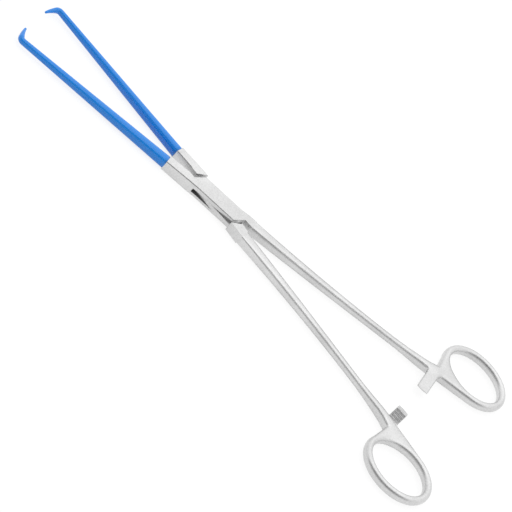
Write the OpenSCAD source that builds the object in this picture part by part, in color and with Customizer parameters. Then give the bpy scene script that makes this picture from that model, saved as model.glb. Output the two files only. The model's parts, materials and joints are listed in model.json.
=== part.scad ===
// Uterine tenaculum: single-tooth holding forceps with a box lock, two ratchet arms and
// coated jaws. Each half is drawn with the pair closed: pin axis at the origin, finger
// rings toward +X, its jaw on the -Y side and its ring on the +Y side. The second half is
// the mirror image. The pair then opens by equal turns about the pin and is moved so that
// the middle of its outline is at the origin and its lowest face lies on Z = 0.

/* [Opening] */
// Turn of each half from closed, degrees
half_opening = 4.1; // [1:0.1:6]

/* [Jaws] */
// Distance from the pin to the heel of the hook, along X
jaw_len = 104; // [80:0.2:130]
// Distance of the jaw's middle from the centre line at the heel
jaw_spread = 8; // [6:0.1:12]
// How much longer the tongue half's jaw is
tongue_jaw_more = 0.6; // [0:0.1:1]
// Distance from the pin to the end of the coating
coat_end = 26.5; // [22:0.5:40]
// Gap between the centre line and the jaw's inner side at the end of the coating
jaw_gap = 0.5; // [0.3:0.05:1]
// Width of the box half's coated jaw at the end of the coating
box_jaw_w = 5.1; // [4.6:0.1:5.2]
// Width of the tongue half's coated jaw at the end of the coating
tongue_jaw_w = 4.4; // [4:0.1:5.2]
// Thickness of a coated jaw at the end of the coating
jaw_root_t = 5.3; // [4.6:0.1:5.4]
// Width of a coated jaw beside the hook
jaw_neck_w = 2.6; // [2.4:0.1:3.6]
// Thickness of a coated jaw beside the hook
jaw_neck_t = 2.9; // [2.4:0.1:3.6]

/* [Hooks] */
// Gap between the two hook points when closed
hook_gap = 0.7; // [0.2:0.05:2]
// Lean of the hook away from the lock where it leaves the bend, degrees
hook_lean = 22; // [0:1:35]
// Inward curl of the hook from its root to its point, degrees
hook_curl = 16; // [0:1:30]
// Radius of the bend between jaw and hook
bend_r = 2; // [1.9:0.1:3]
// Width of the coated hook just short of its rounded point
hook_tip_w = 1.1; // [1:0.05:1.6]

/* [Coating] */
// Thickness of the insulating coat
coat_t = 0.35; // [0.15:0.05:0.4]
// How far the coat stands proud of the bare steel beside it
coat_step = 0.1; // [0.05:0.01:0.12]

/* [Box lock] */
// Thickness of the lock
lock_t = 5.5; // [5.5:0.1:7]
// Width of the lock
lock_w = 8.8; // [8.2:0.1:9.4]
// Distance from the pin to a cheek's end, on the centre line
cheek_reach = 13; // [12.6:0.1:14]
// Slant of a cheek's end from the centre line, degrees
cheek_slant = 54; // [48:1:62]
// Thickness of the lower cheek
low_cheek_t = 1.45; // [1:0.05:1.8]
// Height of the slot between the cheeks
slot_t = 2; // [1.6:0.05:2.4]
// Play between the tongue and each cheek
tongue_play = 0.08; // [0.05:0.01:0.15]
// Diameter of the lock pin
pin_d = 3; // [2:0.1:4]
// Radial running clearance of the tongue on the pin
pin_play = 0.03; // [0.01:0.01:0.1]
// Gap between a shoulder of the tongue half and the cheek when closed
shoulder_gap = 0.8; // [0.4:0.1:1.2]
// Gap between the tongue's rounded corners and the ends of the slot
slot_end_gap = 0.3; // [0.2:0.05:0.6]
// Width of the bevel along the lock's edges
lock_bevel = 0.3; // [0.1:0.05:0.4]

/* [Shanks] */
// Gap between the centre line and the shank's inner side at its root
shank_gap = 0.45; // [0.4:0.05:1]
// Width of a shank where it leaves the lock
shank_root_w = 5; // [4:0.1:5.2]
// Thickness of a shank where it leaves the lock
shank_root_t = 4.9; // [4.2:0.1:5.2]
// Width of a shank at its waist
waist_w = 2.8; // [2.6:0.1:3.4]
// Thickness of a shank at its waist
waist_t = 3.2; // [3:0.1:4]
// Distance from the pin to the end of the shank
shank_len = 108; // [90:0.2:130]
// Distance of the shank's middle from the centre line at its end
shank_spread = 12.8; // [11:0.1:16]

/* [Rings] */
// Half length of a ring, to the middle of its rim
ring_a = 15.2; // [13:0.1:18]
// Half width of a ring, to the middle of its rim
ring_b = 12.3; // [11:0.1:15]
// Width of the rim
rim_w = 3.4; // [3.2:0.1:4.2]
// Thickness of the rim
rim_t = 4.4; // [4:0.1:5.2]
// Turn of a ring's long axis toward the centre line, degrees
ring_tilt = 4; // [0:0.5:10]

/* [Ratchet] */
// Width of a ratchet arm along the instrument
arm_w = 5.3; // [4:0.1:6]
// Thickness of a ratchet arm without its teeth
arm_t = 1.8; // [1.2:0.05:1.8]
// How far the box half's arm reaches past the centre line when closed
box_arm_reach = 1.7; // [1:0.1:2.2]
// How far the tongue half's arm reaches past the centre line when closed
tongue_arm_reach = 1.3; // [0.8:0.1:1.8]
// Length of the thinned end of an arm, ahead of its teeth
arm_lead = 2.4; // [2.2:0.1:3]
// Number of teeth on an arm
teeth = 4; // [3:1:5]
// Distance from tooth to tooth
tooth_pitch = 2.1; // [1.4:0.1:2.2]
// Height of a tooth
tooth_h = 0.65; // [0.4:0.05:0.7]

/* [Hidden] */
steel = "silver";
coat_blue = "#0a62c4";
mid_z = lock_t / 2;
half_w = lock_w / 2;

// Fineness: points round a section, and stations along each stretch of a sweep
sides = 20;
jaw_steps = 8;
bend_steps = 6;
hook_steps = 5;
shank_steps = 14;
ring_steps = 48;
flare_steps = 5;

// A station of a sweep is [middle, heading, width, thickness, squareness]. Its section is
// the superellipse |u / (w/2)| ^ n + |v / (t/2)| ^ n = 1, square to the heading.
function at(p, h, w, t, n) = [p, h, w, t, n];
function lerp(a, b, s) = a + (b - a) * s;
function power(v, e) = sign(v) * pow(abs(v), e);
function section(st, inset) = [
    for (k = [0:sides - 1])
        let (a = 360 * k / sides, e = 2 / st[4])
        let (u = (st[2] / 2 - inset) * power(cos(a), e), v = (st[3] / 2 - inset) * power(sin(a), e))
        [st[0].x - u * sin(st[1]), st[0].y + u * cos(st[1]), mid_z + v]
];
function ring_points(stations, inset) = [for (st = stations) each section(st, inset)];
function wall_faces(rings, base, outward, closed = false) = [
    for (i = [0:rings - (closed ? 1 : 2)], k = [0:sides - 1])
        let (m = (k + 1) % sides, o = base + i * sides, p = base + (i + 1) % rings * sides)
        let (a = o + k, b = o + m, c = p + m, d = p + k)
        each outward ? [[a, d, c], [a, c, b]] : [[a, b, c], [a, c, d]]
];
function cap(base) = [for (k = [0:sides - 1]) base + k];
function turned_cap(base) = [for (k = [sides - 1:-1:0]) base + k];

module sweep(stations, inset = 0) {
    rings = len(stations);
    polyhedron(
        ring_points(stations, inset),
        concat(wall_faces(rings, 0, true), [cap(0), turned_cap((rings - 1) * sides)])
    );
}

module loop(stations) {
    polyhedron(ring_points(stations, 0), wall_faces(len(stations), 0, true, true));
}

// Sleeve between a sweep and the same sweep inset by wall, closed over the last stations
module sleeve(stations, wall, nose) {
    outer = len(stations);
    inner = outer - nose;
    base = outer * sides;
    rim = [
        for (k = [0:sides - 1]) let (m = (k + 1) % sides)
            each [[k, m, base + m], [k, base + m, base + k]]
    ];
    polyhedron(
        concat(ring_points(stations, 0), ring_points([for (i = [0:inner - 1]) stations[i]], wall)),
        concat(
            wall_faces(outer, 0, true), [turned_cap((outer - 1) * sides)],
            wall_faces(inner, base, false), [cap(base + (inner - 1) * sides)], rim
        )
    );
}

// Jaw: a straight taper from the end of the coating, a bend, then the hook, which curls
// inward as it tapers and ends in a rounded point
jaw_square = 5;
neck_square = 2.5;
nose = 3;
core_back = 0.02;
function jaw_w(second) = second ? tongue_jaw_w : box_jaw_w;
function neck_w(second) = jaw_neck_w * sqrt(jaw_w(second) / box_jaw_w);
function jaw_from(second) = [-coat_end, -jaw_gap - jaw_w(second) / 2];
function jaw_heel(second) = [-jaw_len - (second ? tongue_jaw_more : 0), -jaw_spread];
function jaw_dir(second) = let (v = jaw_heel(second) - jaw_from(second)) v / norm(v);
function jaw_heading(second) = let (v = jaw_dir(second)) atan2(v.y, v.x) + 360;
function jaw_turn(second) = jaw_heading(second) - 90 - hook_lean;
function jaw_station(second, s) =
    let (end = jaw_heel(second) - jaw_dir(second) * bend_r * tan(jaw_turn(second) / 2))
    at(lerp(jaw_from(second), end, s), jaw_heading(second), lerp(jaw_w(second), neck_w(second), s),
        lerp(jaw_root_t, jaw_neck_t, s), lerp(jaw_square, neck_square, s));
function bend(start, turn) =
    let (centre = start[0] + bend_r * [sin(start[1]), -cos(start[1])])
    [
        for (i = [1:bend_steps]) let (h = start[1] - turn * i / bend_steps)
            at(centre + bend_r * [-sin(h), cos(h)], h, start[2], start[3], neck_square)
    ];
function hook(root) =
    let (reach = (-hook_gap / 2 - root[0].y) / sin(root[1] - hook_curl / 2))
    let (nose_at = 1 - hook_tip_w / 2 / reach)
    [
        for (i = [1:hook_steps]) hook_station(root, reach, nose_at * i / hook_steps, root[2], 1),
        for (i = [1:nose]) let (a = 85 * i / nose)
            hook_station(root, reach, lerp(nose_at, 1, sin(a)), hook_tip_w, cos(a))
    ];
function hook_station(root, reach, s, w, k) =
    let (h = root[1] - hook_curl * s, size = min(w, lerp(root[2], hook_tip_w, s)) * k)
    at(root[0] + reach * s * [cos(root[1] - hook_curl * s / 2), sin(root[1] - hook_curl * s / 2)],
        h, size, size, 2);
function jaw_stations(second) =
    let (curve = bend(jaw_station(second, 1), jaw_turn(second)))
    concat([for (i = [0:jaw_steps]) jaw_station(second, i / jaw_steps)], curve, hook(curve[bend_steps - 1]));

// The steel inside a coat starts a little way back, within the bare root
function core_stations(second) =
    let (all = jaw_stations(second))
    concat([jaw_station(second, -core_back)], [for (i = [1:len(all) - nose - 1]) all[i]]);

// Bare steel between the coat and the cheeks
steel_t = jaw_root_t - 2 * coat_step;
function root_corner(second, side) =
    let (h = jaw_heading(second))
    jaw_from(second) + side * (jaw_w(second) / 2 - coat_step) * [-sin(h), cos(h)];
root_clear = 0.2;
waist_in = [-cheek_reach + 4, -half_w];
shank_side = [cheek_reach - 3, half_w];
throat = [-17.5, -root_clear];

// Cheek ends, shoulders and slot. The far ends are the near ones turned half round the pin.
function cheek_end(y) = [-cheek_reach + y / tan(cheek_slant), y];
function shoulder(y) = [-cheek_reach - shoulder_gap / sin(cheek_slant) - y / tan(cheek_slant), y];
cheek_corner_y = -0.9;
shoulder_y = half_w + 0.1;
tongue_r = 11.4;
tongue_inset = 0.05;
slot_turn = 34;

// Shank: a shallow bow from the lock to the ring, easing down to its waist
shank_x = 16;
seat_len = 2;
seat_lap = 0.05;
shank_from = [shank_x, shank_gap + shank_root_w / 2];
shank_to = [shank_len, shank_spread];
bow = 0.9;
shank_mid = (shank_from + shank_to) / 2 + [0, -2 * bow];
function bezier(a, b, c, s) = a * pow(1 - s, 2) + 2 * b * s * (1 - s) + c * s * s;
function slope(a, b, c, s) = let (d = (b - a) * (1 - s) + (c - b) * s) atan2(d.y, d.x);
waist_at = 0.82;
ease = 1.6;
shank_square = 8;
end_square = 4;
end_more = [0.2, 0.1];
function shank_size(root, waist, end, s) =
    s < waist_at ? lerp(waist, root, pow(1 - s / waist_at, ease))
    : lerp(waist, end, pow((s - waist_at) / (1 - waist_at), 2));
function shank_station(s) =
    at(bezier(shank_from, shank_mid, shank_to, s), slope(shank_from, shank_mid, shank_to, s),
        shank_size(shank_root_w, waist_w, rim_w + end_more.x, s),
        shank_size(shank_root_t, waist_t, rim_t + end_more.y, s),
        lerp(shank_square, end_square, sqrt(s)));

// Ring and web in one closed run of sections, each from the ring's inner edge to an outer
// line. That line leaves the ring at strut_at, runs to the fork beside the shank's far side,
// crosses the shank to the heel, and runs straight back to the ring at run_at.
ring_mid = [shank_len + 7.6 + ring_a, shank_spread + 3.6 + ring_b];
rim_square = 2.2;
flatness = 0.8;
strut_at = 195;
fork_at = 225;
heel_at = 240;
run_at = 285;
fork = shank_to + [7.2, 4.2];
heel = shank_to + [7.6, -0.6];
function on_ring(a, off = 0) = let (d = [
        -ring_a * sin(a) * cos(ring_tilt) + ring_b * cos(a) * sin(ring_tilt),
        ring_b * cos(a) * cos(ring_tilt) + ring_a * sin(a) * sin(ring_tilt)
    ])
    ring_mid + off * [d.y, -d.x] / norm(d) + [
        ring_a * cos(a) * cos(ring_tilt) + ring_b * sin(a) * sin(ring_tilt),
        ring_b * sin(a) * cos(ring_tilt) - ring_a * cos(a) * sin(ring_tilt)
    ];
function share(a, from, to) = (a - from) / (to - from);
function outer_line(a) =
    a <= strut_at || a >= run_at ? on_ring(a, rim_w / 2)
    : a < fork_at ? lerp(on_ring(strut_at, rim_w / 2), fork, share(a, strut_at, fork_at))
    : a < heel_at ? lerp(fork, heel, share(a, fork_at, heel_at))
    : lerp(heel, on_ring(run_at, rim_w / 2), share(a, heel_at, run_at));
function across(p, q, t, n) = at((p + q) / 2, atan2(q.y - p.y, q.x - p.x) - 90, norm(q - p), t, n);
ring_stations = [
    for (i = [0:ring_steps - 1]) let (a = 360 * i / ring_steps)
        let (p = outer_line(a), q = on_ring(a, -rim_w / 2))
        across(p, q, rim_t, rim_square * pow(norm(q - p) / rim_w, flatness))
];

// The shank widens between fork and heel and ends in a tenon inside the web
side_lap = [0.05, 0.12];
web_square = 6;
end_heading = 11;
end_shift = [0, -0.15];
tenon = [3, rim_t - 0.2];
tenon_at = shank_to + [12, 3];
tenon_heading = 15;
shank_stations = [
    for (i = [0:shank_steps]) shank_station(i / shank_steps),
    at(lerp(shank_to, (fork + heel) / 2, 0.5) + end_shift, end_heading, rim_w + 0.5,
        rim_t + end_more.y, end_square + 1),
    across(heel - side_lap, fork + side_lap, rim_t + end_more.y, web_square),
    at(tenon_at, tenon_heading, tenon.x, tenon.y, web_square)
];

// Ratchet arm: a plate that flares into the shank, and the teeth on its lower side
arm_x = shank_len + 4.4;
arm_root_y = shank_spread + 0.7;
flare = [1.3, 4];
arm_bulge = 0.35;
tooth_crest = 0.85;
tooth_inset = 0.1;
tip_t = 0.4;
function arm_reach(second) = second ? tongue_arm_reach : box_arm_reach;

// Place of the pin, so that the middle of the open pair's outline is at X = 0
function opened(p) = [p.x * cos(half_opening) - p.y * sin(half_opening),
    p.x * sin(half_opening) + p.y * cos(half_opening)];
far_left = min([for (half = [false, true], p = ring_points(jaw_stations(half), 0)) opened(p).x]);
far_right = max([for (p = ring_points(ring_stations, 0)) opened(p).x]);
pin_x = -(far_left + far_right) / 2;

// Wedge off the top and bottom, from height z0 at x0 to z1 at x1, each from the middle
module slope_cut(x0, z0, x1, z1) {
    for (side = [0, 1])
        mirror([0, 0, side])
            rotate([90, 0, 0])
                linear_extrude(height = 4 * lock_w, center = true)
                    polygon([[x0, z0], [x1, z1], [x1, lock_t], [x0, lock_t]]);
}

bevel_over = 0.15;

// Bevel along the top and bottom of an edge that runs from p to q, each [x, y, height / 2]
module bevels(p, q) {
    d = q - p;
    s = lock_bevel * sqrt(2);
    for (side = [0, 1])
        mirror([0, 0, side])
            translate(p)
                rotate([0, -atan2(d.z, norm([d.x, d.y])), atan2(d.y, d.x)])
                    rotate([45, 0, 0])
                        translate([-bevel_over, -s / 2, -s / 2])
                            cube([norm(d) + 2 * bevel_over, s, s]);
}

function lift(p, z) = [p.x, p.y, z];

// Seat of the shank's sweep on its block: a hair wider, so that the sweep grows out of it
seat = shank_station(seat_len / (shank_len - shank_x));
seat_out = [seat[0].x, seat[0].y + seat[2] / 2 + seat_lap];
seat_in = [seat[0].x, seat[0].y - seat[2] / 2 - seat_lap];
seat_t = seat[3] + 2 * seat_lap;

// Toward the coat the steel grows thinner, and its long edges are bevelled
module jaw_root_cuts(second, end) {
    slope_cut(-coat_end - 1, steel_t / 2, -cheek_reach - 1, mid_z);
    bevels(lift(root_corner(second, 1), steel_t / 2), lift(end, mid_z));
    bevels(lift(throat, mid_z - 0.1), lift(root_corner(second, -1), steel_t / 2));
}

module box_block() {
    difference() {
        linear_extrude(height = lock_t, center = true)
            polygon([
                root_corner(false, -1), throat, cheek_end(cheek_corner_y), cheek_end(half_w), shank_side,
                seat_out, seat_in, -cheek_end(cheek_corner_y), -cheek_end(half_w), waist_in,
                root_corner(false, 1)
            ]);
        jaw_root_cuts(false, waist_in);
        slope_cut(cheek_reach, mid_z, seat[0].x, seat_t / 2);
        bevels(lift(waist_in, mid_z), lift(-cheek_end(half_w), mid_z));
        bevels(lift(cheek_end(half_w), mid_z), lift(shank_side, mid_z));
        bevels(lift(shank_side, mid_z), lift(seat_out, seat_t / 2));
    }
}

module tongue_block() {
    difference() {
        union() {
            linear_extrude(height = lock_t, center = true)
                polygon([
                    root_corner(true, -1), throat, shoulder(root_clear), shoulder(-shoulder_y),
                    root_corner(true, 1)
                ]);
            linear_extrude(height = seat_t, center = true)
                polygon([-shoulder(root_clear), -shoulder(-shoulder_y), seat_out, seat_in]);
        }
        jaw_root_cuts(true, shoulder(-shoulder_y));
    }
}

// The tongue: a disc trimmed to the lock's width, carried out to both shoulders
module tongue() {
    side = half_w - tongue_inset;
    lap = 0.5;
    linear_extrude(height = slot_t - 2 * tongue_play, center = true) {
        intersection() {
            circle(r = tongue_r, $fn = 96);
            square([2 * cheek_reach, 2 * side], center = true);
        }
        for (turn = [0, 180])
            rotate(turn)
                polygon([
                    [0, root_clear], shoulder(root_clear) - [lap, 0],
                    shoulder(-side) - [lap, 0], [0, -side]
                ]);
    }
}

// The arms lie one above the other when closed, each thinned toward its end on the side of
// the other. A tooth rises slowly from the arm's end and drops steeply on its shank's side.
module ratchet_arm(reach) {
    root_z = tooth_h / 2;
    top = root_z + arm_t;
    first = arm_lead - reach;
    curve_y = arm_root_y - flare.y;
    side = [
        for (k = [0:flare_steps]) let (s = k / flare_steps)
            [flare.x * s * s, curve_y + flare.y * s]
    ];
    translate([arm_x, 0, 0])
        difference() {
            translate([0, 0, root_z])
                linear_extrude(height = arm_t)
                    polygon([
                        [0, -reach], [arm_w / 2, -reach - arm_bulge], [arm_w, -reach],
                        for (p = side) [arm_w + p.x, p.y],
                        for (k = [flare_steps:-1:0]) [-side[k].x, side[k].y]
                    ]);
            rotate([90, 0, 90])
                translate([0, 0, -flare.x])
                    linear_extrude(height = arm_w + 2 * flare.x)
                        polygon([
                            [first, 0], [first, root_z], [-reach, top - tip_t], [-reach - 1, top - tip_t],
                            [-reach - 1, 0]
                        ]);
            for (x = [0, arm_w])
                bevels([x, -reach, top], [x, curve_y, top]);
        }
    translate([arm_x + tooth_inset, 0, 0])
        rotate([90, 0, 90])
            linear_extrude(height = arm_w - 2 * tooth_inset)
                polygon([
                    [first + teeth * tooth_pitch, root_z + tooth_inset], [first, root_z + tooth_inset],
                    [first, root_z],
                    for (i = [0:teeth - 1]) let (y = first + i * tooth_pitch)
                        each [[y + tooth_crest * tooth_pitch, -root_z], [y + tooth_pitch, root_z]]
                ]);
}

module limbs(second) {
    translate([0, 0, -mid_z]) {
        sweep(core_stations(second), coat_t);
        sweep(shank_stations);
        loop(ring_stations);
    }
    mirror([0, 0, second ? 1 : 0]) ratchet_arm(arm_reach(second));
}

module place(second) {
    translate([pin_x, 0, 0])
        rotate(second ? -half_opening : half_opening)
            mirror([0, second ? 1 : 0, 0])
                children();
}

module box_half() {
    color(steel)
        place(false)
            translate([0, 0, mid_z])
                difference() {
                    union() {
                        box_block();
                        limbs(false);
                    }
                    translate([0, 0, low_cheek_t - mid_z + slot_t / 2])
                        rotate(slot_turn)
                            cube([2 * (tongue_r + slot_end_gap), 4 * lock_w, slot_t], center = true);
                    cylinder(d = pin_d, h = 2 * lock_t, center = true, $fn = 48);
                }
}

module tongue_half() {
    color(steel)
        place(true)
            translate([0, 0, mid_z])
                difference() {
                    union() {
                        tongue_block();
                        limbs(true);
                        translate([0, 0, low_cheek_t - mid_z + slot_t / 2]) tongue();
                    }
                    cylinder(d = pin_d + 2 * pin_play, h = 2 * lock_t, center = true, $fn = 48);
                }
}

module lock_pin() {
    color(steel)
        place(false)
            cylinder(d = pin_d, h = lock_t, $fn = 48);
}

module box_jaw_coating() {
    color(coat_blue) place(false) sleeve(jaw_stations(false), coat_t, nose);
}

module tongue_jaw_coating() {
    color(coat_blue) place(true) sleeve(jaw_stations(true), coat_t, nose);
}

box_half();
tongue_half();
lock_pin();
box_jaw_coating();
tongue_jaw_coating();
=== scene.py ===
"""Uterine tenaculum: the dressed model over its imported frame, on a plain studio floor."""

import json
import math

import bmesh
import bpy
import numpy as np
from mathutils import Matrix, Vector


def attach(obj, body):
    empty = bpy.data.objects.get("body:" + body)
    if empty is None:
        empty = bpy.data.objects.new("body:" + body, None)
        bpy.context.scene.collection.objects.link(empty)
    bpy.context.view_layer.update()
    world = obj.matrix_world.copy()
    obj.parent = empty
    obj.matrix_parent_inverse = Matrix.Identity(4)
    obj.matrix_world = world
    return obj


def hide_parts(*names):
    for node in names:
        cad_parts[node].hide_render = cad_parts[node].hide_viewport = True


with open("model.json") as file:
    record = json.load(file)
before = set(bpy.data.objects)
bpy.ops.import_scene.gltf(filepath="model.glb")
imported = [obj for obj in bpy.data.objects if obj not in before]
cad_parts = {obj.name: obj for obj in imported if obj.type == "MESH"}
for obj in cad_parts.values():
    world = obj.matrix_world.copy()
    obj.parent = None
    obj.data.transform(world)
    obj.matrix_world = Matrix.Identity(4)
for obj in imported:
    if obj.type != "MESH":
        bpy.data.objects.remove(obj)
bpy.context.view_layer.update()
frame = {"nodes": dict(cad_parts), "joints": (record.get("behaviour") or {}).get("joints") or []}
PIN = Vector(frame["joints"][0]["pos_m"])

bl_info = {
    "name": "Uterine Tenaculum",
    "version": (1, 0, 0),
    "blender": (4, 5, 0),
    "location": "3D View > Sidebar > Tenaculum",
    "description": "Dresses the packed tenaculum: forged steel halves, lock pin, blue coats and studio",
    "category": "Add Mesh",
}

MM = 0.001

# grid of a coat: points round it, then stations along each stretch from root to point
COAT_SIDES = 48
TAPER_STEPS = 40
BEND_STEPS = 16
HOOK_STEPS = 18
POINT_STEPS = 8
POINT_ROUND = 88  # degrees of the quarter turn that rounds the hook's point

# points of a CAD copy that are closer than this become one
MERGE_UNDER = 0.002 * MM

# the sky by height, where 0 is level and 1 is straight up: its grey, and how much of the
# dark patch shows
SKY_GREYS = ((0.0, 0.50), (0.45, 0.53), (0.64, 0.54), (0.80, 0.60), (1.0, 0.74))
PATCH_SHARES = ((0.0, 0.2), (0.15, 0.35), (0.40, 1.0), (0.84, 1.0), (0.97, 0.0))


def lerp(a, b, s):
    """The value at the share s of the way from a to b."""
    return a + (b - a) * s


def steps(first, last, count):
    """count + 1 evenly spaced values from first to last."""
    return np.linspace(first, last, count + 1)


class CoatSettings(bpy.types.PropertyGroup):
    """Insulating coat of a jaw: its sizes with the pair closed, its colour and its gloss."""

    jaw_len: bpy.props.FloatProperty(
        name="Jaw length", description="From the pin to the heel of the hook",
        default=104.0 * MM, unit="LENGTH")
    tongue_jaw_more: bpy.props.FloatProperty(
        name="Tongue half's jaw, longer by", description="Added to its jaw length",
        default=0.6 * MM, unit="LENGTH")
    jaw_spread: bpy.props.FloatProperty(
        name="Jaw spread", description="From the centre line to the heel of the hook",
        default=8.0 * MM, unit="LENGTH")
    coat_end: bpy.props.FloatProperty(
        name="Coat end", description="From the pin to the end of the coat",
        default=26.5 * MM, unit="LENGTH")
    jaw_gap: bpy.props.FloatProperty(
        name="Jaw gap", description="From the centre line to the jaw at the end of the coat",
        default=0.5 * MM, unit="LENGTH")
    box_jaw_w: bpy.props.FloatProperty(
        name="Box half's jaw width", description="Width at the end of the coat",
        default=5.1 * MM, unit="LENGTH")
    tongue_jaw_w: bpy.props.FloatProperty(
        name="Tongue half's jaw width", description="Width at the end of the coat",
        default=4.4 * MM, unit="LENGTH")
    jaw_root_t: bpy.props.FloatProperty(
        name="Root thickness", description="Thickness at the end of the coat",
        default=5.3 * MM, unit="LENGTH")
    neck_w: bpy.props.FloatProperty(
        name="Neck width", description="Width beside the hook", default=2.6 * MM,
        unit="LENGTH")
    neck_t: bpy.props.FloatProperty(
        name="Neck thickness", description="Thickness beside the hook",
        default=2.9 * MM, unit="LENGTH")
    hook_gap: bpy.props.FloatProperty(
        name="Hook gap", description="Between the points when closed", default=0.7 * MM,
        unit="LENGTH")
    hook_lean: bpy.props.FloatProperty(
        name="Hook lean", description="Lean of the hook where it leaves the bend",
        default=math.radians(22), subtype="ANGLE")
    hook_curl: bpy.props.FloatProperty(
        name="Hook curl", description="Inward curl of the hook", default=math.radians(16),
        subtype="ANGLE")
    bend_r: bpy.props.FloatProperty(
        name="Bend radius", description="Radius between jaw and hook", default=2.0 * MM,
        unit="LENGTH")
    hook_tip_w: bpy.props.FloatProperty(
        name="Point width", description="Width short of the point", default=1.1 * MM,
        unit="LENGTH")
    root_square: bpy.props.FloatProperty(
        name="Root squareness", description="Power of the section at the end of the coat", default=2.7)
    neck_square: bpy.props.FloatProperty(
        name="Neck squareness", description="Power of the section beside the hook", default=2.3)
    bend_square: bpy.props.FloatProperty(
        name="Bend squareness", description="Power of the section where the hook leaves the bend",
        default=2.1)
    half_opening: bpy.props.FloatProperty(
        name="Opening", description="Turn of each half from closed", default=math.radians(4.1),
        subtype="ANGLE")
    colour: bpy.props.FloatVectorProperty(
        name="Blue", description="Colour of the coat", subtype="COLOR", size=3,
        default=(0.0, 0.255, 0.84), min=0, max=1)
    dark_tone: bpy.props.FloatProperty(
        name="Darkest tone", description="Share of the colour where it is darkest",
        default=0.93, min=0)
    roughness: bpy.props.FloatProperty(
        name="Roughness", description="Roughness of the blue under its gloss", default=0.25,
        min=0, max=1)
    refraction: bpy.props.FloatProperty(
        name="Refraction", description="Index of refraction of the blue", default=1.33)
    gloss: bpy.props.FloatProperty(
        name="Gloss", description="Weight of the clear gloss", default=0.7, min=0, max=1)
    gloss_roughness: bpy.props.FloatProperty(
        name="Gloss roughness", description="Roughness of the clear gloss", default=0.08,
        min=0, max=1)


class SteelSettings(bpy.types.PropertyGroup):
    """Finish of the steel, and the shade painted into the lock's slot."""

    colour: bpy.props.FloatVectorProperty(
        name="Steel", description="Colour of the satin steel", subtype="COLOR", size=3,
        default=(0.66, 0.66, 0.66), min=0, max=1)
    # Painted shade: a darker grey mixed into the faces of the lock's slot, standing in for the shade
    # deep inside the lock.
    painted_shade_colour: bpy.props.FloatVectorProperty(
        name="Recess", description="Colour of the steel deep inside the lock", subtype="COLOR",
        size=3, default=(0.36, 0.36, 0.36), min=0, max=1)
    roughness: bpy.props.FloatProperty(
        name="Roughness", description="Mean roughness of the satin finish", default=0.3,
        min=0, max=1)
    roughness_swing: bpy.props.FloatProperty(
        name="Roughness swing", description="Most that the grain adds or takes", default=0.03,
        min=0)
    dark_tone: bpy.props.FloatProperty(
        name="Darkest tone", description="Share of the colour where it is darkest",
        default=0.88, min=0)
    light_tone: bpy.props.FloatProperty(
        name="Lightest tone", description="Share of the colour where it is lightest",
        default=1.08, min=0)
    slot_z: bpy.props.FloatProperty(
        name="Slot height", description="Middle of the lock's slot above the floor",
        default=2.45 * MM, unit="LENGTH")
    slot_t: bpy.props.FloatProperty(
        name="Slot thickness", description="Height of the slot", default=2.0 * MM, unit="LENGTH")
    slot_reach: bpy.props.FloatProperty(
        name="Slot reach", description="From the pin to the slot's ends", default=11.4 * MM,
        unit="LENGTH")
    slot_play: bpy.props.FloatProperty(
        name="Slot play", description="Added to half the slot's thickness when its faces are found",
        default=0.02 * MM, unit="LENGTH")
    slot_side: bpy.props.FloatProperty(
        name="Slot side", description="From the pin to just inside the lock's sides",
        default=4.3 * MM, unit="LENGTH")
    # The painted shade in the slot sets in and grows full between these two distances from the pin.
    painted_shade_from: bpy.props.FloatProperty(
        name="Recess from", description="From the pin to where the dark of the slot begins",
        default=2.0 * MM, unit="LENGTH")
    painted_shade_full: bpy.props.FloatProperty(
        name="Recess full", description="From the pin to where the dark of the slot is full",
        default=9.0 * MM, unit="LENGTH")
    smooth_under: bpy.props.FloatProperty(
        name="Smooth under", description="Edges flatter than this are shaded smooth",
        default=math.radians(28), subtype="ANGLE")
    lock_round: bpy.props.FloatProperty(
        name="Lock edges", description="Width of the polish on the edges of the lock and the arms",
        default=0.2 * MM, unit="LENGTH")
    handle_round: bpy.props.FloatProperty(
        name="Handle edges", description="Width of the polish on the edges of shanks and rings",
        default=2.1 * MM, unit="LENGTH")
    handle_start: bpy.props.FloatProperty(
        name="Handle start", description="From the pin to where the wider polish sets in",
        default=14.0 * MM, unit="LENGTH")
    handle_blend: bpy.props.FloatProperty(
        name="Handle blend", description="Length over which the polish reaches its full width",
        default=20.0 * MM, unit="LENGTH")
    arm_near: bpy.props.FloatProperty(
        name="Arms from", description="From the pin to the near side of the ratchet arms",
        default=107.0 * MM, unit="LENGTH")
    arm_far: bpy.props.FloatProperty(
        name="Arms to", description="From the pin to the far side of the ratchet arms",
        default=122.0 * MM, unit="LENGTH")
    arm_end: bpy.props.FloatProperty(
        name="Arm ends", description="From the centre line to where the ratchet arms meet the rings",
        default=19.0 * MM, unit="LENGTH")


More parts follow.
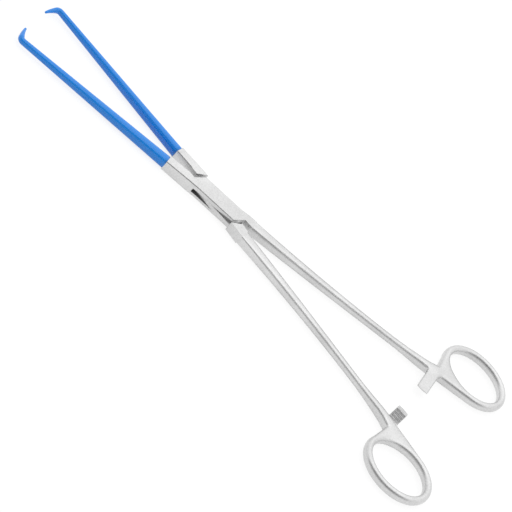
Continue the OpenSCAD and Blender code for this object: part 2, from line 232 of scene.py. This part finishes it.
class StageSettings(bpy.types.PropertyGroup):
    """Camera and studio."""

    target: bpy.props.FloatVectorProperty(
        name="Target", description="Point that the camera looks at", subtype="TRANSLATION", size=3,
        default=(8.018 * MM, -6.422 * MM, 2.75 * MM), unit="LENGTH")
    elevation: bpy.props.FloatProperty(
        name="Elevation", description="Camera above the floor", default=math.radians(40),
        subtype="ANGLE")
    azimuth: bpy.props.FloatProperty(
        name="Azimuth", description="Camera round the instrument", default=math.radians(0.886),
        subtype="ANGLE")
    roll: bpy.props.FloatProperty(
        name="Roll", description="Camera about its own line of sight", default=math.radians(44.561),
        subtype="ANGLE")
    distance: bpy.props.FloatProperty(
        name="Distance", description="Camera to target", default=1.09478, unit="LENGTH")
    lens: bpy.props.FloatProperty(
        name="Lens", description="Focal length in millimetres", default=187.376)
    sensor: bpy.props.FloatProperty(
        name="Sensor", description="Width of the sensor in millimetres", default=36.0)
    clip_near: bpy.props.FloatProperty(
        name="Clip near", description="Nearest that the camera sees", default=0.05,
        unit="LENGTH")
    clip_far: bpy.props.FloatProperty(
        name="Clip far", description="Farthest that the camera sees", default=50.0,
        unit="LENGTH")
    floor_side: bpy.props.FloatProperty(
        name="Floor", description="From the middle of the floor to its sides", default=6.0,
        unit="LENGTH")
    floor_below: bpy.props.FloatProperty(
        name="Floor below", description="Gap under the instrument", default=0.02 * MM,
        unit="LENGTH")
    floor_bounce: bpy.props.FloatProperty(
        name="Floor bounce", description="Grey of the floor where it lights the instrument",
        default=0.85, min=0, max=1)
    floor_white: bpy.props.FloatProperty(
        name="Floor white", description="White that the camera sees even in the shadow",
        default=0.85, min=0)
    floor_shade: bpy.props.FloatProperty(
        name="Floor shade", description="Grey of the floor in which the shadow shows",
        default=0.2, min=0, max=1)
    sky_strength: bpy.props.FloatProperty(
        name="Sky", description="Strength of the sky", default=2.0)
    patch_grey: bpy.props.FloatProperty(
        name="Dark patch", description="Grey of the dark patch behind the camera",
        default=0.14, min=0, max=1)
    patch_start: bpy.props.FloatProperty(
        name="Patch start", description="Y of the direction where the dark patch sets in",
        default=-0.20)
    patch_full: bpy.props.FloatProperty(
        name="Patch full", description="Y of the direction where the dark patch is full",
        default=-0.45)
    lamp_place: bpy.props.FloatVectorProperty(
        name="Lamp place", description="Middle of the far lamp", subtype="TRANSLATION", size=3,
        default=(-0.1, 0.85, 0.75), unit="LENGTH")
    lamp_side: bpy.props.FloatProperty(
        name="Lamp side", description="Side of the far lamp", default=0.8, unit="LENGTH")
    lamp_power: bpy.props.FloatProperty(
        name="Lamp", description="Power of the far lamp in watts", default=0.25)


def fresh_tree(material):
    """The node tree of a material, emptied, and a new output node in it."""
    material.use_nodes = True
    tree = material.node_tree
    tree.nodes.clear()
    return tree, tree.nodes.new("ShaderNodeOutputMaterial")


def join(tree, links):
    """Links each (from node, output, to node, input)."""
    for source, out, target, into in links:
        tree.links.new(source.outputs[out], target.inputs[into])


def satin_steel():
    """Satin steel: a fine blasted grain over slow, faint changes of tone, with the edges
    polished round. The face attribute recess paints shade into the lock's slot, darker
    towards its end, and the face attribute soft widens the polish on the handles."""
    settings = bpy.context.scene.tenaculum_steel
    material = bpy.data.materials.new("satin_steel")
    tree, out = fresh_tree(material)
    new = tree.nodes.new
    place = new("ShaderNodeTexCoord")
    grain = new("ShaderNodeTexNoise")
    grain.inputs["Scale"].default_value = 1400
    grain.inputs["Detail"].default_value = 2
    clouds = new("ShaderNodeTexNoise")
    clouds.inputs["Scale"].default_value = 70
    clouds.inputs["Detail"].default_value = 2
    both = new("ShaderNodeMath")
    both.operation = "ADD"
    spread = new("ShaderNodeMapRange")
    spread.inputs["From Min"].default_value = 0.7
    spread.inputs["From Max"].default_value = 1.3
    tone = new("ShaderNodeMix")
    tone.data_type = "RGBA"
    tone.inputs["A"].default_value = (*[c * settings.dark_tone for c in settings.colour], 1)
    tone.inputs["B"].default_value = (*[c * settings.light_tone for c in settings.colour], 1)
    # Painted shade: faces marked recess are mixed towards a darker grey, fuller farther from the pin.
    deep = new("ShaderNodeAttribute")
    deep.attribute_name = "recess"
    along = new("ShaderNodeSeparateXYZ")
    fade = new("ShaderNodeMapRange")
    fade.inputs["From Min"].default_value = PIN.x - settings.painted_shade_from
    fade.inputs["From Max"].default_value = PIN.x - settings.painted_shade_full
    painted_shade_amount = new("ShaderNodeMath")
    painted_shade_amount.operation = "MULTIPLY"
    shade = new("ShaderNodeMix")
    shade.data_type = "RGBA"
    shade.inputs["B"].default_value = (*settings.painted_shade_colour, 1)
    polish = new("ShaderNodeMapRange")
    polish.inputs["To Min"].default_value = settings.roughness - settings.roughness_swing
    polish.inputs["To Max"].default_value = settings.roughness + settings.roughness_swing
    rounding = new("ShaderNodeBevel")
    rounding.samples = 8
    soft = new("ShaderNodeAttribute")
    soft.attribute_name = "soft"
    width = new("ShaderNodeMapRange")
    width.inputs["To Min"].default_value = settings.lock_round
    width.inputs["To Max"].default_value = settings.handle_round
    bump = new("ShaderNodeBump")
    bump.inputs["Strength"].default_value = 0.3
    bump.inputs["Distance"].default_value = 0.02 * MM
    shader = new("ShaderNodeBsdfPrincipled")
    shader.inputs["Metallic"].default_value = 1
    join(tree, [
        (place, "Object", grain, "Vector"), (place, "Object", clouds, "Vector"),
        (grain, "Fac", both, 0), (clouds, "Fac", both, 1),
        (both, "Value", spread, "Value"), (spread, "Result", tone, "Factor"),
        (place, "Object", along, "Vector"), (along, "X", fade, "Value"),
        (deep, "Fac", painted_shade_amount, 0), (fade, "Result", painted_shade_amount, 1),
        (tone, "Result", shade, "A"), (painted_shade_amount, "Value", shade, "Factor"),
        (shade, "Result", shader, "Base Color"), (grain, "Fac", polish, "Value"),
        (polish, "Result", shader, "Roughness"), (grain, "Fac", bump, "Height"),
        (soft, "Fac", width, "Value"), (width, "Result", rounding, "Radius"),
        (rounding, "Normal", bump, "Normal"), (bump, "Normal", shader, "Normal"),
        (shader, "BSDF", out, "Surface"),
    ])
    return material


def gloss_blue():
    """Glossy insulating coat: blue with a soft sheen and the faint orange peel of a dipped coat."""
    settings = bpy.context.scene.tenaculum_coat
    material = bpy.data.materials.new("gloss_blue")
    tree, out = fresh_tree(material)
    new = tree.nodes.new
    place = new("ShaderNodeTexCoord")
    peel = new("ShaderNodeTexNoise")
    peel.inputs["Scale"].default_value = 700
    peel.inputs["Detail"].default_value = 1
    flow = new("ShaderNodeTexNoise")
    flow.inputs["Scale"].default_value = 60
    tone = new("ShaderNodeMix")
    tone.data_type = "RGBA"
    tone.inputs["A"].default_value = (*[c * settings.dark_tone for c in settings.colour], 1)
    tone.inputs["B"].default_value = (*settings.colour, 1)
    bump = new("ShaderNodeBump")
    bump.inputs["Strength"].default_value = 0.04
    bump.inputs["Distance"].default_value = 0.03 * MM
    shader = new("ShaderNodeBsdfPrincipled")
    shader.inputs["Roughness"].default_value = settings.roughness
    shader.inputs["IOR"].default_value = settings.refraction
    shader.inputs["Coat Weight"].default_value = settings.gloss
    shader.inputs["Coat Roughness"].default_value = settings.gloss_roughness
    join(tree, [
        (place, "Object", peel, "Vector"), (place, "Object", flow, "Vector"),
        (flow, "Fac", tone, "Factor"), (tone, "Result", shader, "Base Color"),
        (peel, "Fac", bump, "Height"), (bump, "Normal", shader, "Normal"),
        (shader, "BSDF", out, "Surface"),
    ])
    return material


def finish_of(name, maker):
    """The material of that name, made by maker the first time it is asked for."""
    return bpy.data.materials.get(name) or maker()


def add_piece(name, mesh, material, body, node):
    """Links a mesh as the piece that stands for a CAD node and rides on its body."""
    piece = bpy.data.objects.new(name, mesh)
    bpy.context.scene.collection.objects.link(piece)
    mesh.materials.clear()
    mesh.materials.append(material)
    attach(piece, body)
    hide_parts(node)


def merged_copy(name, node, smooth_under):
    """A copy of a CAD node's mesh with its loose triangles joined. Edges flatter than
    smooth_under are shaded smooth, and the rest stay crisp."""
    mesh = frame["nodes"][node].data.copy()
    mesh.name = name
    form = bmesh.new()
    form.from_mesh(mesh)
    bmesh.ops.remove_doubles(form, verts=form.verts, dist=MERGE_UNDER)
    bmesh.ops.dissolve_degenerate(form, edges=form.edges, dist=MERGE_UNDER)
    bmesh.ops.recalc_face_normals(form, faces=form.faces)
    for edge in form.edges:
        edge.smooth = len(edge.link_faces) == 2 and edge.calc_face_angle(0) < smooth_under
    for face in form.faces:
        face.smooth = True
    form.to_mesh(mesh)
    form.free()
    mark_faces(mesh)
    return mesh


def mark_faces(mesh):
    """Writes two face attributes from the middle of each face, measured from the pin. recess
    is 1 where it lies in the lock's slot on the camera's side of the pin, and 0 elsewhere;
    it marks where shade is painted into the steel.
    soft rises from 0 to 1 along the shanks, stays 1 on the rings and is 0 on the ratchet
    arms."""
    settings = bpy.context.scene.tenaculum_steel
    middle = np.empty(len(mesh.polygons) * 3)
    mesh.polygons.foreach_get("center", middle)
    x, y, z = (middle.reshape(-1, 3) - np.array(PIN)).T
    # Faces of the slot on the camera's side get painted shade.
    height = np.abs(z + PIN.z - settings.slot_z)
    inside = (height < settings.slot_t / 2 + settings.slot_play) & (y < 0)
    inside &= (np.abs(x) < settings.slot_reach) & (np.abs(y) < settings.slot_side)
    handle = np.clip((x - settings.handle_start) / settings.handle_blend, 0, 1)
    on_arm = (x > settings.arm_near) & (x < settings.arm_far) & (np.abs(y) < settings.arm_end)
    handle[on_arm] = 0
    for name, values in (("recess", inside), ("soft", handle)):
        attribute = mesh.attributes.new(name, "FLOAT", "FACE")
        attribute.data.foreach_set("value", values.astype(np.float32))


def tube(name, middles, headings, widths, heights, squareness, around, level):
    """A closed sweep of superellipses. Round each station a runs from 0 to 360 degrees, and
    a point of the section is u = w/2 * |cos a|^(2/n) across and v = t/2 * |sin a|^(2/n) up,
    each with the sign of its cosine or sine, for the width w, height t and squareness n."""
    a = np.radians(steps(0, 360, around)[:-1])[None, :]
    power = 2 / squareness[:, None]
    u = widths[:, None] / 2 * np.sign(np.cos(a)) * np.abs(np.cos(a)) ** power
    v = heights[:, None] / 2 * np.sign(np.sin(a)) * np.abs(np.sin(a)) ** power
    across = np.stack([-np.sin(headings), np.cos(headings)], -1)
    plan = middles[:, None, :] + u[..., None] * across[:, None, :]
    points = np.concatenate([plan, (level + v)[..., None]], -1).reshape(-1, 3)
    rows = np.arange(len(middles) - 1)[:, None] * around
    here = rows + np.arange(around)[None, :]
    beside = rows + (np.arange(around)[None, :] + 1) % around
    walls = np.stack([here, beside, beside + around, here + around], -1)
    caps = [list(range(around - 1, -1, -1)), list(range(len(points) - around, len(points)))]
    mesh = bpy.data.meshes.new(name)
    mesh.from_pydata(points.tolist(), [], walls.reshape(-1, 4).tolist() + caps)
    mesh.polygons.foreach_set("use_smooth", [True] * (len(mesh.polygons) - 2) + [False] * 2)
    return mesh


def jaw_sweep(second):
    """Stations of a coated jaw with the pair closed: a straight taper from the end of the
    coat, a bend of constant radius, and a hook that curls as it tapers to a rounded point.
    The stretch from bend to point is k = 0 to 1, its chord is reach * k long, and it has
    turned by curl * k. The point shrinks as the cosine of a while k nears 1 as its sine."""
    c = bpy.context.scene.tenaculum_coat
    root_w = c.tongue_jaw_w if second else c.box_jaw_w
    neck_w = c.neck_w * math.sqrt(root_w / c.box_jaw_w)
    start = np.array([-c.coat_end, -c.jaw_gap - root_w / 2])
    heel = np.array([-c.jaw_len - (c.tongue_jaw_more if second else 0), -c.jaw_spread])
    along = (heel - start) / np.linalg.norm(heel - start)
    heading = math.atan2(along[1], along[0]) + 2 * math.pi
    leave = math.pi / 2 + c.hook_lean
    turn = heading - leave
    end = heel - along * c.bend_r * math.tan(turn / 2)

    s = steps(0, 1, TAPER_STEPS)
    taper = lerp(start, end, s[:, None])
    h = steps(heading, leave, BEND_STEPS)[1:]
    centre = end + c.bend_r * np.array([math.sin(heading), -math.cos(heading)])
    bend = centre + c.bend_r * np.stack([-np.sin(h), np.cos(h)], -1)
    reach = (-c.hook_gap / 2 - bend[-1][1]) / math.sin(leave - c.hook_curl / 2)
    blunt = 1 - c.hook_tip_w / 2 / reach
    a = np.radians(steps(0, POINT_ROUND, POINT_STEPS)[1:])
    k = np.concatenate([steps(0, blunt, HOOK_STEPS)[1:], lerp(blunt, 1, np.sin(a))])
    shrink = np.concatenate([np.ones(HOOK_STEPS), np.cos(a)])
    way = leave - c.hook_curl * k / 2
    hook = bend[-1] + reach * k[:, None] * np.stack([np.cos(way), np.sin(way)], -1)
    slim = np.minimum(k / blunt, 1)
    hook_w = lerp(neck_w, c.hook_tip_w, slim) * shrink
    hook_t = lerp(c.neck_t, c.hook_tip_w, slim) * shrink

    middles = np.concatenate([taper, bend, hook])
    headings = np.concatenate([np.full(len(s), heading), h, leave - c.hook_curl * k])
    widths = np.concatenate([lerp(root_w, neck_w, s), np.full(len(h), neck_w), hook_w])
    heights = np.concatenate(
        [lerp(c.jaw_root_t, c.neck_t, s), np.full(len(h), c.neck_t), hook_t])
    square = np.concatenate([
        lerp(c.root_square, c.neck_square, s),
        steps(c.neck_square, c.bend_square, BEND_STEPS)[1:], np.full(len(k), 2.0)])
    return middles, headings, widths, heights, square


def open_half(mesh, second):
    """Mirrors the second half and turns a half from closed to the opening at rest."""
    turn = bpy.context.scene.tenaculum_coat.half_opening
    mirror = Matrix.Diagonal((1, -1 if second else 1, 1, 1))
    opening = Matrix.Rotation(-turn if second else turn, 4, "Z")
    mesh.transform(Matrix.Translation((PIN.x, PIN.y, 0)) @ opening @ mirror)
    if second:
        mesh.flip_normals()
    return mesh


class TENACULUM_OT_steel_halves(bpy.types.Operator):
    """Dress both forged halves in satin steel"""

    bl_idname = "tenaculum.steel_halves"
    bl_label = "Steel halves"

    def execute(self, context):
        steel = finish_of("satin_steel", satin_steel)
        settings = context.scene.tenaculum_steel
        for node, body in (("box_half", "box_side"), ("tongue_half", "tongue_side")):
            mesh = merged_copy(node + "_steel", node, settings.smooth_under)
            add_piece(node + "_steel", mesh, steel, body, node)
        return {"FINISHED"}


class TENACULUM_OT_pin(bpy.types.Operator):
    """Dress the lock pin"""

    bl_idname = "tenaculum.pin"
    bl_label = "Lock pin"

    def execute(self, context):
        steel = finish_of("satin_steel", satin_steel)
        settings = context.scene.tenaculum_steel
        mesh = merged_copy("lock_pin_steel", "lock_pin", settings.smooth_under)
        add_piece("lock_pin_steel", mesh, steel, "box_side", "lock_pin")
        return {"FINISHED"}


class TENACULUM_OT_coats(bpy.types.Operator):
    """Make the glossy blue coats of both jaws"""

    bl_idname = "tenaculum.coats"
    bl_label = "Jaw coats"

    def execute(self, context):
        blue = finish_of("gloss_blue", gloss_blue)
        for second, node, body in ((False, "box_jaw_coating", "box_side"),
                                   (True, "tongue_jaw_coating", "tongue_side")):
            mesh = tube(node + "_gloss", *jaw_sweep(second), around=COAT_SIDES, level=PIN.z)
            add_piece(node + "_gloss", open_half(mesh, second), blue, body, node)
        return {"FINISHED"}


class TENACULUM_OT_stage(bpy.types.Operator):
    """Set up the floor, the studio light and the camera"""

    bl_idname = "tenaculum.stage"
    bl_label = "Stage"

    def execute(self, context):
        stage = context.scene.tenaculum_stage
        self.add_camera(context, stage)
        self.add_floor(context, stage)
        self.add_lights(context, stage)
        context.scene.view_settings.view_transform = "Standard"
        return {"FINISHED"}

    def add_camera(self, context, stage):
        """The camera looks at the target from its elevation and azimuth, and is rolled."""
        e, a, roll = stage.elevation, stage.azimuth, stage.roll
        back = Vector((math.sin(a) * math.cos(e), -math.cos(a) * math.cos(e), math.sin(e)))
        level = Vector((math.cos(a), math.sin(a), 0))
        upward = back.cross(level)
        right = level * math.cos(roll) + upward * math.sin(roll)
        up = upward * math.cos(roll) - level * math.sin(roll)
        data = bpy.data.cameras.new("photo_camera")
        data.lens, data.sensor_width = stage.lens, stage.sensor
        data.clip_start, data.clip_end = stage.clip_near, stage.clip_far
        camera = bpy.data.objects.new("photo_camera", data)
        turned = Matrix((right, up, back)).transposed().to_4x4()
        camera.matrix_world = Matrix.Translation(
            Vector(stage.target) + back * stage.distance) @ turned
        context.scene.collection.objects.link(camera)
        context.scene.camera = camera

    def add_floor(self, context, stage):
        """A pale floor, white to the camera and in reflections but for the shadow on it."""
        mesh = bpy.data.meshes.new("floor")
        side = stage.floor_side
        corners = [(-side, -side, 0), (side, -side, 0), (side, side, 0), (-side, side, 0)]
        mesh.from_pydata(corners, [], [(0, 1, 2, 3)])
        mesh.transform(Matrix.Translation((0, 0, -stage.floor_below)))
        floor = bpy.data.objects.new("floor", mesh)
        context.scene.collection.objects.link(floor)
        material = bpy.data.materials.new("studio_floor")
        tree, out = fresh_tree(material)
        new = tree.nodes.new
        matte = new("ShaderNodeBsdfDiffuse")
        matte.inputs["Color"].default_value = (*[stage.floor_bounce] * 3, 1)
        shaded = new("ShaderNodeBsdfDiffuse")
        shaded.inputs["Color"].default_value = (*[stage.floor_shade] * 3, 1)
        white = new("ShaderNodeEmission")
        white.inputs["Strength"].default_value = stage.floor_white
        seen = new("ShaderNodeAddShader")
        ray = new("ShaderNodeLightPath")
        direct = new("ShaderNodeMath")
        direct.operation = "MAXIMUM"
        either = new("ShaderNodeMath")
        either.operation = "MAXIMUM"
        mix = new("ShaderNodeMixShader")
        join(tree, [
            (ray, "Is Camera Ray", direct, 0), (ray, "Is Glossy Ray", direct, 1),
            (direct, "Value", either, 0), (ray, "Is Transmission Ray", either, 1),
            (white, "Emission", seen, 0), (shaded, "BSDF", seen, 1),
            (either, "Value", mix, "Fac"), (matte, "BSDF", mix, 1), (seen, "Shader", mix, 2),
            (mix, "Shader", out, "Surface"),
        ])
        mesh.materials.append(material)

    def add_lights(self, context, stage):
        """A pale sky, brighter towards its top, with a dark patch behind the camera, which draws
        a thin dark line along each rounded ridge, and one wide lamp on the far side."""
        world = bpy.data.worlds.new("studio")
        context.scene.world = world
        world.use_nodes = True
        tree = world.node_tree
        tree.nodes.clear()
        new = tree.nodes.new
        out = new("ShaderNodeOutputWorld")
        place = new("ShaderNodeTexCoord")
        split = new("ShaderNodeSeparateXYZ")
        height = self.add_ramp(tree, PATCH_SHARES)
        bright = self.add_ramp(tree, SKY_GREYS)
        behind = new("ShaderNodeMapRange")
        behind.inputs["From Min"].default_value = stage.patch_start
        behind.inputs["From Max"].default_value = stage.patch_full
        patch = new("ShaderNodeMath")
        patch.operation = "MULTIPLY"
        tone = new("ShaderNodeMix")
        tone.data_type = "RGBA"
        tone.inputs["B"].default_value = (*[stage.patch_grey] * 3, 1)
        sky = new("ShaderNodeBackground")
        sky.inputs["Strength"].default_value = stage.sky_strength
        join(tree, [
            (place, "Generated", split, "Vector"), (split, "Z", height, "Fac"),
            (split, "Z", bright, "Fac"), (bright, "Color", tone, "A"),
            (split, "Y", behind, "Value"),
            (height, "Color", patch, 0), (behind, "Result", patch, 1),
            (patch, "Value", tone, "Factor"), (tone, "Result", sky, "Color"),
            (sky, "Background", out, "Surface"),
        ])
        self.add_lamp(context, "far_softbox", stage.lamp_place, stage.lamp_side, stage.lamp_power)

    def add_ramp(self, tree, stops):
        """A grey ramp through (position, value) stops."""
        node = tree.nodes.new("ShaderNodeValToRGB")
        ramp = node.color_ramp
        while len(ramp.elements) < len(stops):
            ramp.elements.new(0.5)
        for element, (position, value) in zip(ramp.elements, stops):
            element.position = position
            element.color = (value, value, value, 1)
        return node

    def add_lamp(self, context, name, place, size, power):
        """A square area lamp that faces the middle of the instrument."""
        data = bpy.data.lights.new(name, "AREA")
        data.shape, data.size, data.energy = "SQUARE", size, power
        lamp = bpy.data.objects.new(name, data)
        lamp.location = place
        lamp.rotation_mode = "QUATERNION"
        lamp.rotation_quaternion = (-Vector(place)).to_track_quat("-Z", "Y")
        context.scene.collection.objects.link(lamp)


class TENACULUM_PT_panel(bpy.types.Panel):
    """Lists the tenaculum's pieces in the sidebar"""

    bl_idname = "TENACULUM_PT_panel"
    bl_label = "Uterine tenaculum"
    bl_space_type = "VIEW_3D"
    bl_region_type = "UI"
    bl_category = "Tenaculum"

    def draw(self, context):
        for operator in OPERATORS:
            self.layout.operator(operator.bl_idname)


SETTINGS = {
    "tenaculum_coat": CoatSettings,
    "tenaculum_steel": SteelSettings,
    "tenaculum_stage": StageSettings,
}
OPERATORS = (TENACULUM_OT_steel_halves, TENACULUM_OT_pin, TENACULUM_OT_coats, TENACULUM_OT_stage)


def register():
    """Registers the settings, the operators and the panel."""
    for kind in (*SETTINGS.values(), *OPERATORS, TENACULUM_PT_panel):
        bpy.utils.register_class(kind)
    for name, kind in SETTINGS.items():
        setattr(bpy.types.Scene, name, bpy.props.PointerProperty(type=kind))


def unregister():
    """Removes what register added."""
    for name in SETTINGS:
        delattr(bpy.types.Scene, name)
    for kind in reversed((*SETTINGS.values(), *OPERATORS, TENACULUM_PT_panel)):
        bpy.utils.unregister_class(kind)


def main():
    register()
    bpy.ops.tenaculum.steel_halves()
    bpy.ops.tenaculum.pin()
    bpy.ops.tenaculum.coats()
    bpy.ops.tenaculum.stage()
    bpy.context.view_layer.update()


if __name__ == "__main__":
    main()
